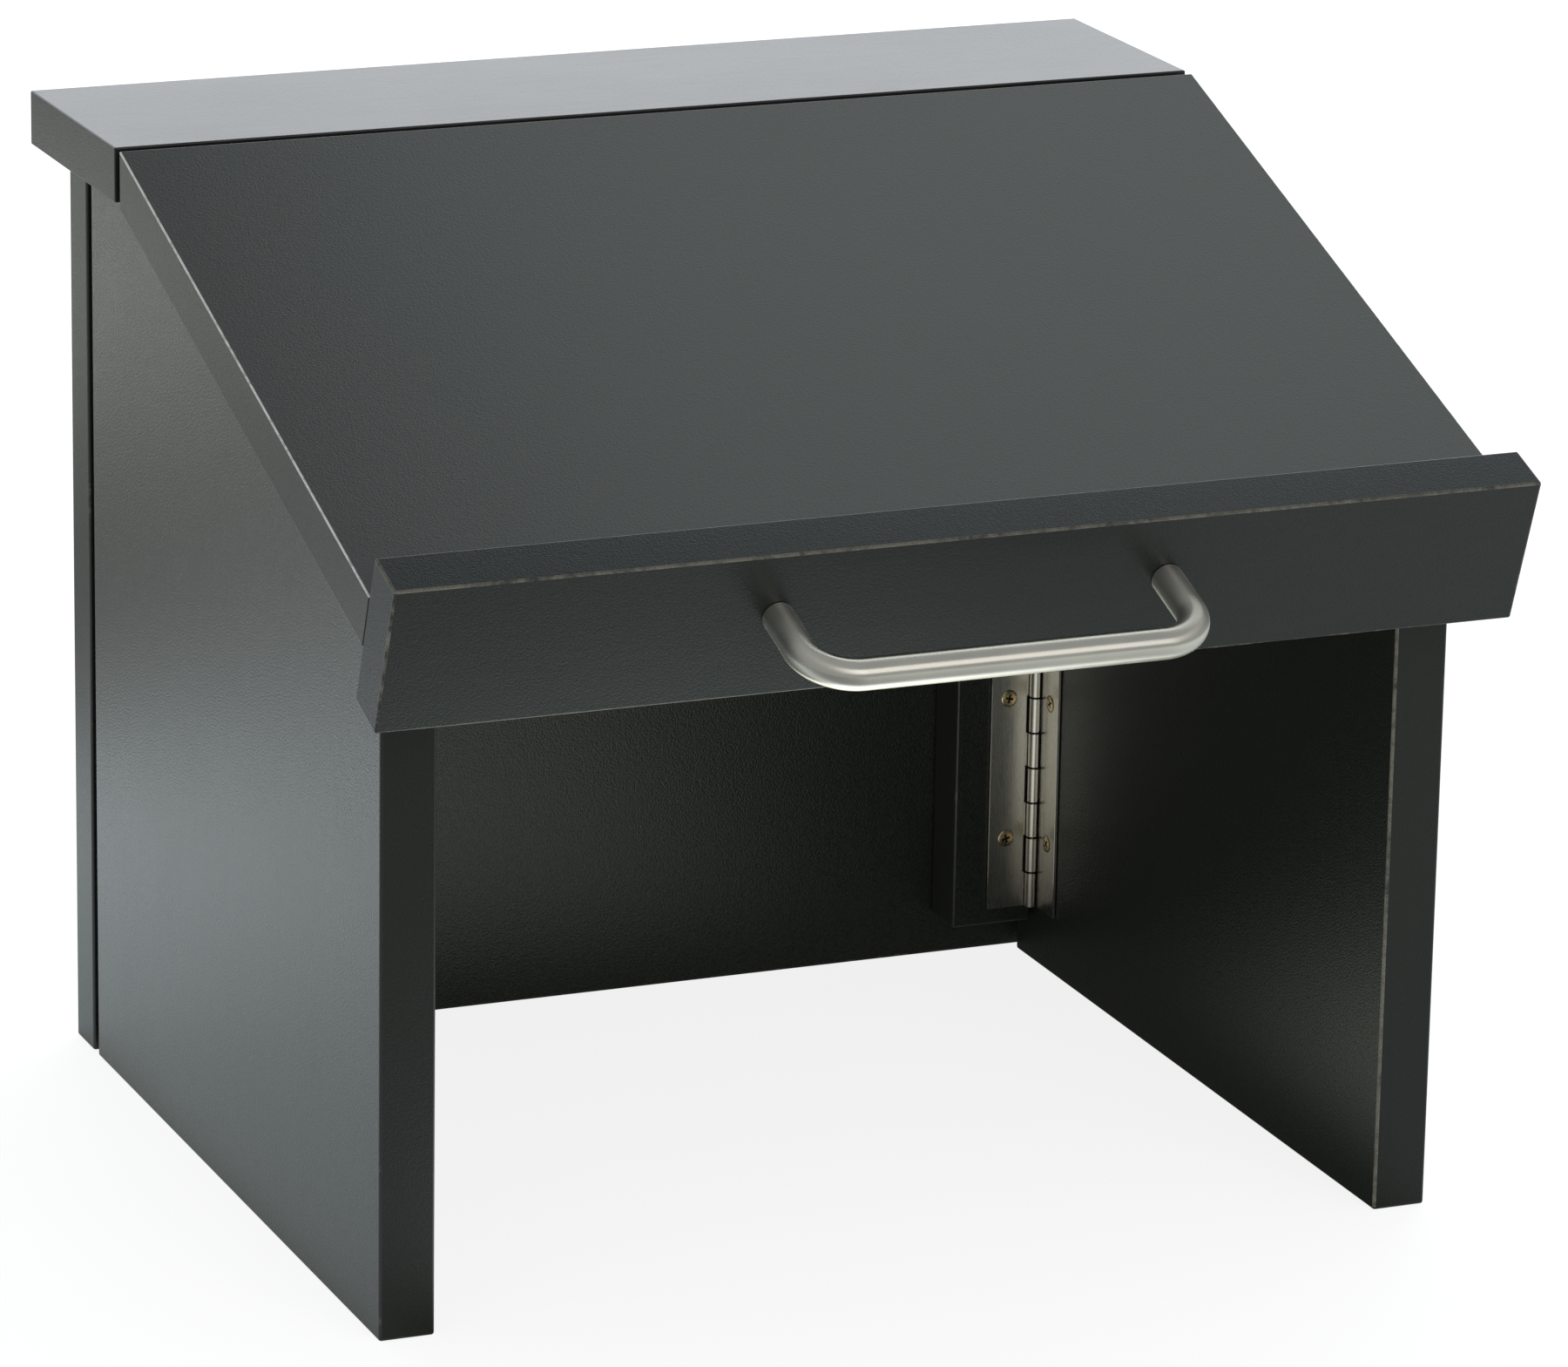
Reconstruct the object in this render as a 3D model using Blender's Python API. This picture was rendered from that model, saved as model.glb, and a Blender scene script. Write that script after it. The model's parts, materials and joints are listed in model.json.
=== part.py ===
"""Folding tabletop lectern: a back panel, two hinged side panels, a flat top shelf, and a sloping
reading board with a book-stop lip and a carrying handle. Metres, +Z up. The origin is on the
standing surface, under the centre of the overall box; -Y is the reader's side."""

import math

import bmesh
import bpy
from mathutils import Matrix, Vector

MM = 0.001

# Boards
BOARD = 18 * MM  # thickness of every panel
BODY_WIDTH = 356 * MM  # over the outer faces of the side panels
TOP_OVERHANG = 10 * MM  # shelf, reading board and lip beyond the body, each side and at the rear
SHELF_UNDERSIDE = 307 * MM  # height above the table
SHELF_REACH = 80 * MM  # from the back panel's rear face to the shelf's front edge
SIDE_REACH = 304 * MM  # from the back panel's rear face to the side panels' front edges
SLOPE = math.radians(19.3)
READING_LENGTH = 251 * MM  # surface of the reading board, top edge to lip
LIP_HEIGHT = 51 * MM
STOP_HEIGHT = 14 * MM  # lip above the reading surface
EDGE_RADIUS = 1.0 * MM
BACK_EDGE_RADIUS = 2.5 * MM  # softened front corners of the back panel

# Clearances
FIT_GAP = 0.3 * MM  # between pieces that touch
SIDE_REAR_GAP = 5.0 * MM  # side panel to back panel, opened by the hinge knuckle
SIDE_TOP_GAP = 3.2 * MM  # side panel to shelf underside, so that its corners swing freely
SIDE_REST_GAP = 0.4 * MM  # front of a side panel's sloping edge to the reading board on it

# Batten that carries the right hinge, so that the right panel folds over the left one
BATTEN_WIDTH = 29.5 * MM
BATTEN_DEPTH = 19 * MM
BATTEN_END_GAP = 15 * MM  # above the table, and below the shelf
BATTEN_SIDE_GAP = 1.5 * MM  # to the right panel

# Piano hinges
KNUCKLE = 12.7 * MM
KNUCKLE_RADIUS = 2.2 * MM
KNUCKLE_GAP = 0.3 * MM
LEAF_THICKNESS = 1.0 * MM
LEAF_WIDTH = 16 * MM  # from the pin's axis
LEAF_NOTCH = 2.9 * MM  # from the pin's axis to the edge of a notch
ROLL_END = math.radians(-195)  # a knuckle rolls from 90 degrees to here
ROLL_STEPS = 6
PIN_RADIUS = 0.9 * MM
PIN_OFFSET = KNUCKLE_RADIUS + FIT_GAP  # pin axis to the face that a leaf is screwed to
KNUCKLES = 20  # alternately the fixed leaf's and the moving leaf's
SIDE_HINGE_BASE = 21 * MM
SCREW_PITCH = 4 * KNUCKLE
FIRST_SCREW = 2 * KNUCKLE
LEAF_SCREWS = 5
SCREW_FROM_PIN = 9.5 * MM

# Hinge screws, along their own axis: the rim of the head lies at 0
HEAD_RADIUS = 2.9 * MM
HEAD_CONE = 1.5 * MM
HEAD_DOME = 0.3 * MM
SHANK_RADIUS = 1.4 * MM
SCREW_LENGTH = 13 * MM
CROSS_LENGTH = 3.2 * MM
CROSS_WIDTH = 0.8 * MM
BATTEN_SCREW_LENGTH = 32 * MM
BATTEN_SCREW_SINK = 1.0 * MM  # head below the batten's face, under the hinge leaf

# Dowels
DOWEL_RADIUS = 4.0 * MM
DOWEL_LENGTH = 28 * MM
DOWEL_DEPTH = 12 * MM  # in the shelf and in the lip; the rest is in the other board
DOWEL_SPACING = 120 * MM

# Handle
HANDLE_CENTRES = 128 * MM
HANDLE_RADIUS = 5 * MM
HANDLE_REACH = 33 * MM  # lip face to the bar's axis
HANDLE_BEND = 15 * MM
HANDLE_DROP = 22 * MM  # from the lip's top edge
HANDLE_SIDES = 12
BEND_STEPS = 5
BOLT_RADIUS = 2 * MM
BOLT_HEAD_RADIUS = 3.8 * MM
BOLT_HEAD = 2.6 * MM
BOLT_SINK = 3.4 * MM  # counterbore in the rear of the lip
BOLT_IN_HANDLE = 11 * MM

ROUND_SIDES = 8

# Places worked out from the above
COS, SIN, TAN = math.cos(SLOPE), math.sin(SLOPE), math.tan(SLOPE)
HALF_BODY = BODY_WIDTH / 2
HALF_TOP = HALF_BODY + TOP_OVERHANG
INNER = HALF_BODY - BOARD
PIN_X = INNER - PIN_OFFSET
BOARD_END_GAP = 2 * PIN_OFFSET  # the closed board hinge lies in this gap
LIP_FROM_SURFACE_TOP = READING_LENGTH + BOARD
BAR_REACH = (LIP_FROM_SURFACE_TOP + HANDLE_REACH) * COS + (STOP_HEIGHT - HANDLE_DROP) * SIN
FRONT = SHELF_REACH + BOARD_END_GAP + BAR_REACH + HANDLE_RADIUS
REAR_FACE = (FRONT - TOP_OVERHANG) / 2  # world Y of the back panel's rear face
BACK_FRONT = REAR_FACE - BOARD
SHELF_FRONT = REAR_FACE - SHELF_REACH
SIDE_FRONT = REAR_FACE - SIDE_REACH
SIDE_REAR = BACK_FRONT - SIDE_REAR_GAP
BATTEN_FRONT = BACK_FRONT - BATTEN_DEPTH
LEFT_PIN_Y = BACK_FRONT - PIN_OFFSET
RIGHT_PIN_Y = BATTEN_FRONT - PIN_OFFSET
BOARD_PIN_Y = SHELF_FRONT - PIN_OFFSET
BOARD_PIN_Z = SHELF_UNDERSIDE
BOARD_TOP_Y = SHELF_FRONT - BOARD_END_GAP
UNDER_AT_TOP = SHELF_UNDERSIDE + BOARD - BOARD / COS  # underside of the reading board at its top end

# In the reading board's own axes, whose origin is its pin: -Y runs down the slope
BOARD_SURFACE = PIN_OFFSET * SIN + BOARD * COS
BOARD_UNDER = BOARD_SURFACE - BOARD
SURFACE_TOP = (BOARD_SURFACE * SIN - PIN_OFFSET) / COS
UNDER_TOP = (BOARD_UNDER * SIN - PIN_OFFSET) / COS
LIP_REAR = SURFACE_TOP - READING_LENGTH
LIP_FACE = LIP_REAR - BOARD
LIP_TOP = BOARD_SURFACE + STOP_HEIGHT
LIP_BASE = LIP_TOP - LIP_HEIGHT
HANDLE_Z = LIP_TOP - HANDLE_DROP

COLOURS = {
    "laminate": ((0.040, 0.046, 0.045), 0.48, 0.0),
    "steel": ((0.62, 0.60, 0.56), 0.28, 1.0),
    "zinc": ((0.62, 0.52, 0.33), 0.35, 1.0),
    "beech": ((0.58, 0.42, 0.26), 0.60, 0.0),
}


def clear_scene():
    for old in list(bpy.data.objects):
        bpy.data.objects.remove(old)


def make_material(name):
    colour, roughness, metallic = COLOURS[name]
    material = bpy.data.materials.new(name)
    material.use_nodes = True
    shader = material.node_tree.nodes["Principled BSDF"]
    shader.inputs["Base Color"].default_value = (*colour, 1.0)
    shader.inputs["Roughness"].default_value = roughness
    shader.inputs["Metallic"].default_value = metallic
    return material


def make_empty(name, location, rotation=(0, 0, 0)):
    empty = bpy.data.objects.new(name, None)
    empty.location = location
    empty.rotation_euler = rotation
    bpy.context.scene.collection.objects.link(empty)
    return empty


def make_object(name, mesh, material=None, parent=None, location=(0, 0, 0), rotation=(0, 0, 0)):
    made = bpy.data.objects.new(name, mesh)
    made.location = location
    made.rotation_euler = rotation
    made.parent = parent
    if material is not None and not mesh.materials:
        mesh.materials.append(material)
    bpy.context.scene.collection.objects.link(made)
    return made


def mesh_from(bm, name, smooth=False):
    bmesh.ops.recalc_face_normals(bm, faces=bm.faces)
    mesh = bpy.data.meshes.new(name)
    bm.to_mesh(mesh)
    bm.free()
    if smooth:
        mesh.shade_smooth()
        mesh.set_sharp_from_angle(angle=math.radians(35))
    return mesh


def extruded(outline, along, smooth=False, name="extrusion"):
    """A closed solid: a flat outline of 3-D points, extruded along a vector."""
    bm = bmesh.new()
    face = bm.faces.new([bm.verts.new(point) for point in outline])
    grown = bmesh.ops.extrude_face_region(bm, geom=[face])
    moved = [item for item in grown["geom"] if isinstance(item, bmesh.types.BMVert)]
    bmesh.ops.translate(bm, verts=moved, vec=Vector(along))
    return mesh_from(bm, name, smooth)


def box_mesh(low, high, name="box"):
    x0, y0, z0 = low
    x1, y1, z1 = high
    outline = [(x0, y0, z0), (x1, y0, z0), (x1, y1, z0), (x0, y1, z0)]
    return extruded(outline, (0, 0, z1 - z0), name=name)


def turned(profile, sides=ROUND_SIDES, smooth=True, name="turned"):
    """A solid of revolution about Z. The profile is (radius, z) from one end to the other."""
    bm = bmesh.new()
    rings = []
    for radius, z in profile:
        if radius == 0:
            rings.append([bm.verts.new((0, 0, z))])
            continue
        angles = [2 * math.pi * k / sides for k in range(sides)]
        rings.append([bm.verts.new((radius * math.cos(a), radius * math.sin(a), z)) for a in angles])
    for first, second in zip(rings, rings[1:]):
        for k in range(sides):
            after = (k + 1) % sides
            corners = [first[k % len(first)], first[after % len(first)]]
            corners += [second[after % len(second)], second[k % len(second)]]
            bm.faces.new(list(dict.fromkeys(corners)))
    for ring in (rings[0], rings[-1]):
        if len(ring) > 1:
            bm.faces.new(ring)
    return mesh_from(bm, name, smooth)


def add_bevel(made, width=EDGE_RADIUS, segments=2):
    bevel = made.modifiers.new("edge_radius", "BEVEL")
    bevel.width = width
    bevel.segments = segments
    bevel.limit_method = "ANGLE"
    bevel.angle_limit = math.radians(40)


def cut_away(made, cutter_mesh, name):
    """Cuts a helper mesh, given in the object's own axes, out of the object."""
    cutter = make_object(made.name + "_" + name, cutter_mesh)
    cutter.parent = made.parent
    cutter.location = made.location
    cutter.rotation_euler = made.rotation_euler
    cutter.hide_render = True
    cutter.display_type = "WIRE"
    cut = made.modifiers.new(name, "BOOLEAN")
    cut.operation = "DIFFERENCE"
    cut.solver = "EXACT"
    cut.object = cutter


def placed_copies(mesh, matrices, name):
    """One helper mesh made of a copy of the mesh at each matrix."""
    bm = bmesh.new()
    for matrix in matrices:
        copy = mesh.copy()
        copy.transform(matrix)
        bm.from_mesh(copy)
        bpy.data.meshes.remove(copy)
    return mesh_from(bm, name)


def facing(direction, place):
    """A matrix that turns +Z to the direction and moves the origin to the place."""
    turn = Vector(direction).to_track_quat("Z", "Y").to_matrix().to_4x4()
    return Matrix.Translation(Vector(place)) @ turn


def final_mesh(made, name):
    """The object's mesh with its modifiers applied; the object itself is then removed."""
    graph = bpy.context.evaluated_depsgraph_get()
    mesh = bpy.data.meshes.new_from_object(made.evaluated_get(graph))
    mesh.name = name
    bpy.data.objects.remove(made)
    return mesh


# Fasteners


def screw_mesh(length, material):
    """Countersunk cross-head screw, pointing down from the rim of its head at Z = 0."""
    profile = [(0, HEAD_DOME), (HEAD_RADIUS, 0), (SHANK_RADIUS, -HEAD_CONE)]
    profile += [(SHANK_RADIUS, -length + 2 * SHANK_RADIUS), (0, -length)]
    screw = make_object("screw_blank", turned(profile), material)
    long, wide = CROSS_LENGTH / 2, CROSS_WIDTH / 2
    arm = [(long, -wide), (long, wide), (wide, wide)]
    outline = []
    for quarter in range(4):
        turn = Matrix.Rotation(quarter * math.pi / 2, 3, "Z")
        outline += [turn @ Vector((x, y, -0.6 * HEAD_CONE)) for x, y in arm]
    cut_away(screw, extruded(outline, (0, 0, HEAD_CONE)), "cross")
    return final_mesh(screw, "screw")


def screw_clearance(length, above):
    """What a screw's hole removes: the screw, a fit gap larger, and the space above its head."""
    rim = HEAD_RADIUS + FIT_GAP
    hole = SHANK_RADIUS + FIT_GAP
    profile = [(rim, above), (rim, 0), (hole, -HEAD_CONE - FIT_GAP / 2), (hole, -length - FIT_GAP)]
    return turned(profile, smooth=False, name="screw_hole")


def dowel_mesh():
    half = DOWEL_LENGTH / 2
    chamfer = 1.2 * MM
    profile = [(DOWEL_RADIUS - chamfer, half), (DOWEL_RADIUS, half - chamfer)]
    profile += [(DOWEL_RADIUS, chamfer - half), (DOWEL_RADIUS - chamfer, -half)]
    return turned(profile, name="dowel")


def dowel_hole(place, direction, depth):
    """A blind hole from a face at the place, into the board along the direction."""
    radius = DOWEL_RADIUS + FIT_GAP
    hole = turned([(radius, -depth), (radius, depth + 2 * FIT_GAP)], smooth=False, name="dowel_hole")
    hole.transform(facing(direction, place))
    return hole


def add_dowels(prefix, shared, direction, face, across, parent, material, thin_board, thick_board):
    """Three dowels across a joint: face is where the boards meet, direction points into the thin one."""
    centre = (face[0], face[1], face[2])
    for k in (-1, 0, 1):
        place = Vector(centre) + Vector(across) * k * DOWEL_SPACING
        into_thin = Vector(direction)
        middle = place + into_thin * (DOWEL_DEPTH - DOWEL_LENGTH / 2)
        dowel = make_object(f"{prefix}_dowel_{k + 2}", shared, material, parent, middle)
        dowel.rotation_euler = into_thin.to_track_quat("Z", "Y").to_euler()
        cut_away_in_parent(thin_board, dowel_hole(place, into_thin, DOWEL_DEPTH), f"dowel_{k + 2}")
        depth = DOWEL_LENGTH - DOWEL_DEPTH
        cut_away_in_parent(thick_board, dowel_hole(place, -into_thin, depth), f"dowel_{k + 2}")


def cut_away_in_parent(made, cutter_mesh, name):
    """Cuts a helper mesh, given in the axes of the object's parent, out of the object."""
    local = made.matrix_basis.inverted()
    cutter_mesh.transform(local)
    cut_away(made, cutter_mesh, name)


# Piano hinges


def leaf_profile():
    """The section of a leaf and its rolled knuckle. The pin is at (0, 0), and the leaf lies along -X
    with its back at Y = KNUCKLE_RADIUS."""
    inner = KNUCKLE_RADIUS - LEAF_THICKNESS
    start = math.pi / 2
    angles = [start + (ROLL_END - start) * k / ROLL_STEPS for k in range(ROLL_STEPS + 1)]
    outside = [(KNUCKLE_RADIUS * math.cos(a), KNUCKLE_RADIUS * math.sin(a)) for a in angles]
    inside = [(inner * math.cos(a), inner * math.sin(a)) for a in reversed(angles)]
    return [(-LEAF_WIDTH, KNUCKLE_RADIUS)] + outside + inside + [(-LEAF_WIDTH, inner)]


def add_leaf(name, keeps_even, to_axes, parent, location, material, screws, screw_hole):
    """One leaf of a piano hinge. to_axes maps (x, y) of the section and the distance along the pin to
    the parent's axes."""
    along = Vector(to_axes(0, 0, KNUCKLE))
    outline = [to_axes(x, y, 0) for x, y in leaf_profile()]
    mesh = extruded(outline, along * KNUCKLES, smooth=True, name=name)
    leaf = make_object(name, mesh, material, parent, location)
    reach = KNUCKLE_RADIUS + 1 * MM
    for k in range(KNUCKLES):
        if (k % 2 == 0) == keeps_even:
            continue
        start = k * KNUCKLE - (KNUCKLE_GAP / 2 if k else reach)
        end = (k + 1) * KNUCKLE + (KNUCKLE_GAP / 2 if k < KNUCKLES - 1 else reach)
        corners = [(-LEAF_NOTCH, -reach), (reach, -reach), (reach, reach), (-LEAF_NOTCH, reach)]
        notch = extruded([to_axes(x, y, start) for x, y in corners], along * (end - start) / KNUCKLE)
        cut_away(leaf, notch, f"notch_{k}")
    holes = placed_copies(screw_hole, [facing(out, place) for place, out in screws], name + "_holes")
    cut_away(leaf, holes, "screw_holes")
    return leaf


def leaf_screws(to_axes):
    """Where a leaf's screws go, and the way their heads face, in the parent's axes about the pin."""
    surface = KNUCKLE_RADIUS - LEAF_THICKNESS
    out = Vector(to_axes(0, -1, 0)).normalized()
    places = [FIRST_SCREW + k * SCREW_PITCH for k in range(LEAF_SCREWS)]
    return [(to_axes(-SCREW_FROM_PIN, surface, place), out) for place in places]


def add_screws(prefix, shared, screws, parent, origin, material):
    for k, (place, out) in enumerate(screws):
        screw = make_object(f"{prefix}_screw_{k + 1}", shared, material, parent, Vector(origin) + Vector(place))
        screw.rotation_euler = Vector(out).to_track_quat("Z", "Y").to_euler()


def drill(board, clearance, screws, origin, name):
    """Holes in a board for screws given about a pin; origin is the pin in the axes of the board's parent."""
    move = Matrix.Translation(Vector(origin))
    holes = placed_copies(clearance, [move @ facing(out, place) for place, out in screws], name)
    cut_away_in_parent(board, holes, name)


def add_pin(name, direction, start, material):
    length = KNUCKLES * KNUCKLE
    pin = make_object(name, turned([(PIN_RADIUS, 0), (PIN_RADIUS, length)], name=name), material, None, start)
    pin.rotation_euler = Vector(direction).to_track_quat("Z", "Y").to_euler()


def add_hinge(prefix, fixed_axes, moving_axes, axis, start, fixed_board, moving_board, materials, screw, screw_hole):
    """A whole piano hinge. axis is the empty on its pin, and start is where the hinge begins from there."""
    steel, zinc = materials["steel"], materials["zinc"]
    world = Vector(axis.location) + start
    fixed = leaf_screws(fixed_axes)
    moving = leaf_screws(moving_axes)
    add_leaf(prefix + "_fixed_leaf", True, fixed_axes, None, world, steel, fixed, screw_hole)
    add_leaf(prefix + "_moving_leaf", False, moving_axes, axis, start, steel, moving, screw_hole)
    add_pin(prefix + "_pin", fixed_axes(0, 0, 1), world, steel)
    add_screws(prefix + "_fixed", screw, fixed, None, world, zinc)
    add_screws(prefix + "_moving", screw, moving, axis, start, zinc)
    drill(fixed_board, screw_hole, fixed, world, prefix + "_holes")
    drill(moving_board, screw_hole, moving, start, prefix + "_holes")


# Boards


def side_outline(x):
    """A side panel's outline at one of its faces, in world axes."""
    top = SHELF_UNDERSIDE - SIDE_TOP_GAP
    front = UNDER_AT_TOP - (BOARD_TOP_Y - SIDE_FRONT) * TAN - SIDE_REST_GAP
    return [(x, SIDE_REAR, 0), (x, SIDE_REAR, top), (x, BOARD_TOP_Y, top), (x, SIDE_FRONT, front), (x, SIDE_FRONT, 0)]


def add_side(name, sign, pin_y, material):
    """A side panel, parented to an empty on its hinge pin."""
    axis = make_empty(name + "_axis", (sign * PIN_X, pin_y, 0))
    outline = [Vector(p) - axis.location for p in side_outline(sign * INNER)]
    mesh = extruded(outline, (sign * BOARD, 0, 0), name=name)
    side = make_object(name, mesh, material, axis)
    add_bevel(side)
    return axis, side


def add_back(material):
    low = (-HALF_BODY, BACK_FRONT, 0)
    high = (HALF_BODY, REAR_FACE, SHELF_UNDERSIDE - FIT_GAP)
    back = make_object("back_panel", box_mesh(low, high, "back_panel"), material)
    weights = back.data.attributes.new("bevel_weight_edge", "FLOAT", "EDGE")
    for edge in back.data.edges:
        ends = [back.data.vertices[v].co for v in edge.vertices]
        upright = abs(ends[0].z - ends[1].z) > BOARD
        in_front = all(abs(end.y - BACK_FRONT) < FIT_GAP for end in ends)
        weights.data[edge.index].value = 1.0 if upright and in_front else EDGE_RADIUS / BACK_EDGE_RADIUS
    bevel = back.modifiers.new("edge_radius", "BEVEL")
    bevel.width = BACK_EDGE_RADIUS
    bevel.segments = 3
    bevel.limit_method = "WEIGHT"
    return back


def add_shelf(material):
    low = (-HALF_TOP, SHELF_FRONT, SHELF_UNDERSIDE)
    high = (HALF_TOP, REAR_FACE + TOP_OVERHANG, SHELF_UNDERSIDE + BOARD)
    shelf = make_object("top_shelf", box_mesh(low, high, "top_shelf"), material)
    add_bevel(shelf, 0.6 * EDGE_RADIUS)
    return shelf


def add_batten(material):
    right = INNER - BATTEN_SIDE_GAP
    low = (right - BATTEN_WIDTH, BATTEN_FRONT, BATTEN_END_GAP)
    high = (right, BACK_FRONT - FIT_GAP, SHELF_UNDERSIDE - BATTEN_END_GAP)
    batten = make_object("hinge_batten", box_mesh(low, high, "hinge_batten"), material)
    add_bevel(batten)
    return batten


def add_reading_board(axis, material):
    """The reading board, whose top end is bevelled so that it stands upright beside the shelf."""
    front = LIP_REAR + FIT_GAP
    outline = [(-HALF_TOP, UNDER_TOP, BOARD_UNDER), (-HALF_TOP, SURFACE_TOP, BOARD_SURFACE)]
    outline += [(-HALF_TOP, front, BOARD_SURFACE), (-HALF_TOP, front, BOARD_UNDER)]
    mesh = extruded(outline, (2 * HALF_TOP, 0, 0), name="reading_board")
    board = make_object("reading_board", mesh, material, axis)
    add_bevel(board, 0.7 * EDGE_RADIUS)
    return board


def add_lip(axis, material):
    low = (-HALF_TOP, LIP_FACE, LIP_BASE)
    high = (HALF_TOP, LIP_REAR, LIP_TOP)
    lip = make_object("front_lip", box_mesh(low, high, "front_lip"), material, axis)
    add_bevel(lip, 0.8 * EDGE_RADIUS)
    return lip


# Handle


def handle_path():
    """Centreline of the bow handle in X and Y of the lip's axes, Y = 0 on the lip's face."""
    half = HANDLE_CENTRES / 2
    corner = half - HANDLE_BEND
    straight = HANDLE_REACH - HANDLE_BEND
    bend = []
    for k in range(BEND_STEPS + 1):
        turn = math.pi / 2 * k / BEND_STEPS
        bend.append((corner + HANDLE_BEND * math.cos(turn), -straight - HANDLE_BEND * math.sin(turn)))
    right = [(half, -FIT_GAP)] + bend
    left = [(-x, y) for x, y in reversed(right)]
    return right + left


def add_handle(axis, material):
    path = [Vector((x, y, 0)) for x, y in handle_path()]
    bm = bmesh.new()
    rings = []
    for k, point in enumerate(path):
        before = path[max(k - 1, 0)]
        after = path[min(k + 1, len(path) - 1)]
        tangent = (after - before).normalized()
        if k in (0, len(path) - 1):
            tangent = Vector((0, -1 if k == 0 else 1, 0))
        across = tangent.cross(Vector((0, 0, 1)))
        ring = []
        for side in range(HANDLE_SIDES):
            angle = 2 * math.pi * side / HANDLE_SIDES
            spoke = across * math.cos(angle) + Vector((0, 0, 1)) * math.sin(angle)
            ring.append(bm.verts.new(point + spoke * HANDLE_RADIUS))
        rings.append(ring)
    for first, second in zip(rings, rings[1:]):
        for side in range(HANDLE_SIDES):
            after = (side + 1) % HANDLE_SIDES
            bm.faces.new((first[side], first[after], second[after], second[side]))
    bm.faces.new(rings[0])
    bm.faces.new(rings[-1])
    mesh = mesh_from(bm, "pull_handle", smooth=True)
    handle = make_object("pull_handle", mesh, material, axis, (0, LIP_FACE, HANDLE_Z))
    hole = turned([(BOLT_RADIUS + FIT_GAP, -BOLT_IN_HANDLE - MM), (BOLT_RADIUS + FIT_GAP, MM)], smooth=False)
    half = HANDLE_CENTRES / 2
    holes = placed_copies(hole, [facing((0, 1, 0), (x, 0, 0)) for x in (-half, half)], "bolt_holes")
    cut_away(handle, holes, "bolt_holes")
    return handle


def add_handle_bolts(axis, lip, material):
    """Pan-head bolts from the rear of the lip into the handle; the reading board's end hides them."""
    grip = BOARD - BOLT_SINK
    profile = [(0.8 * BOLT_HEAD_RADIUS, BOLT_HEAD), (BOLT_HEAD_RADIUS, 0.4 * BOLT_HEAD), (BOLT_HEAD_RADIUS, 0)]
    profile += [(BOLT_RADIUS, 0), (BOLT_RADIUS, -grip - BOLT_IN_HANDLE)]
    shared = turned(profile, name="handle_bolt")
    sink = BOLT_HEAD_RADIUS + FIT_GAP
    hole = BOLT_RADIUS + FIT_GAP
    opening = turned([(sink, 2 * BOLT_SINK), (sink, -FIT_GAP), (hole, -FIT_GAP), (hole, -2 * BOARD)], smooth=False)
    seats = []
    for k, x in enumerate((-HANDLE_CENTRES / 2, HANDLE_CENTRES / 2)):
        seat = (x, LIP_REAR - BOLT_SINK, HANDLE_Z)
        bolt = make_object(f"handle_bolt_{k + 1}", shared, material, axis, seat)
        bolt.rotation_euler = Vector((0, 1, 0)).to_track_quat("Z", "Y").to_euler()
        seats.append(facing((0, 1, 0), seat))
    cut_away_in_parent(lip, placed_copies(opening, seats, "bolt_seats"), "bolt_seats")


# Hinges in place


def add_side_hinge(prefix, sign, axis, side, fixed_board, materials, screw, screw_hole):
    """A piano hinge up the inside corner of a side panel. Its fixed leaf is on the board behind."""

    def fixed_axes(x, y, along):
        return (sign * x, y, along)

    def moving_axes(x, y, along):
        return (sign * y, x, along)

    start = Vector((0, 0, SIDE_HINGE_BASE))
    add_hinge(prefix, fixed_axes, moving_axes, axis, start, fixed_board, side, materials, screw, screw_hole)


def add_board_hinge(axis, board, shelf, materials, screw, screw_hole):
    """A piano hinge standing in the gap between the shelf's front edge and the reading board's end."""

    def fixed_axes(x, y, along):
        return (along, y, -x)

    def moving_axes(x, y, along):
        return (along, -x * SIN - y * COS, y * SIN - x * COS)

    start = Vector((-KNUCKLES * KNUCKLE / 2, 0, 0))
    add_hinge("board_hinge", fixed_axes, moving_axes, axis, start, shelf, board, materials, screw, screw_hole)


def add_batten_screws(batten, back, material):
    """Long screws under the hinge leaf, through the batten into the back panel."""
    shared = screw_mesh(BATTEN_SCREW_LENGTH, material)
    face = BATTEN_FRONT + BATTEN_SCREW_SINK
    middle = SIDE_HINGE_BASE + FIRST_SCREW + SCREW_PITCH / 2
    across = PIN_X - SCREW_FROM_PIN
    screws = [((across, face, middle + k * SCREW_PITCH), Vector((0, -1, 0))) for k in (0, 3)]
    add_screws("batten", shared, screws, None, (0, 0, 0), material)
    clearance = screw_clearance(BATTEN_SCREW_LENGTH, 2 * BATTEN_SCREW_SINK)
    drill(batten, clearance, screws, (0, 0, 0), "batten_holes")
    drill(back, clearance, screws, (0, 0, 0), "batten_holes")


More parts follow.
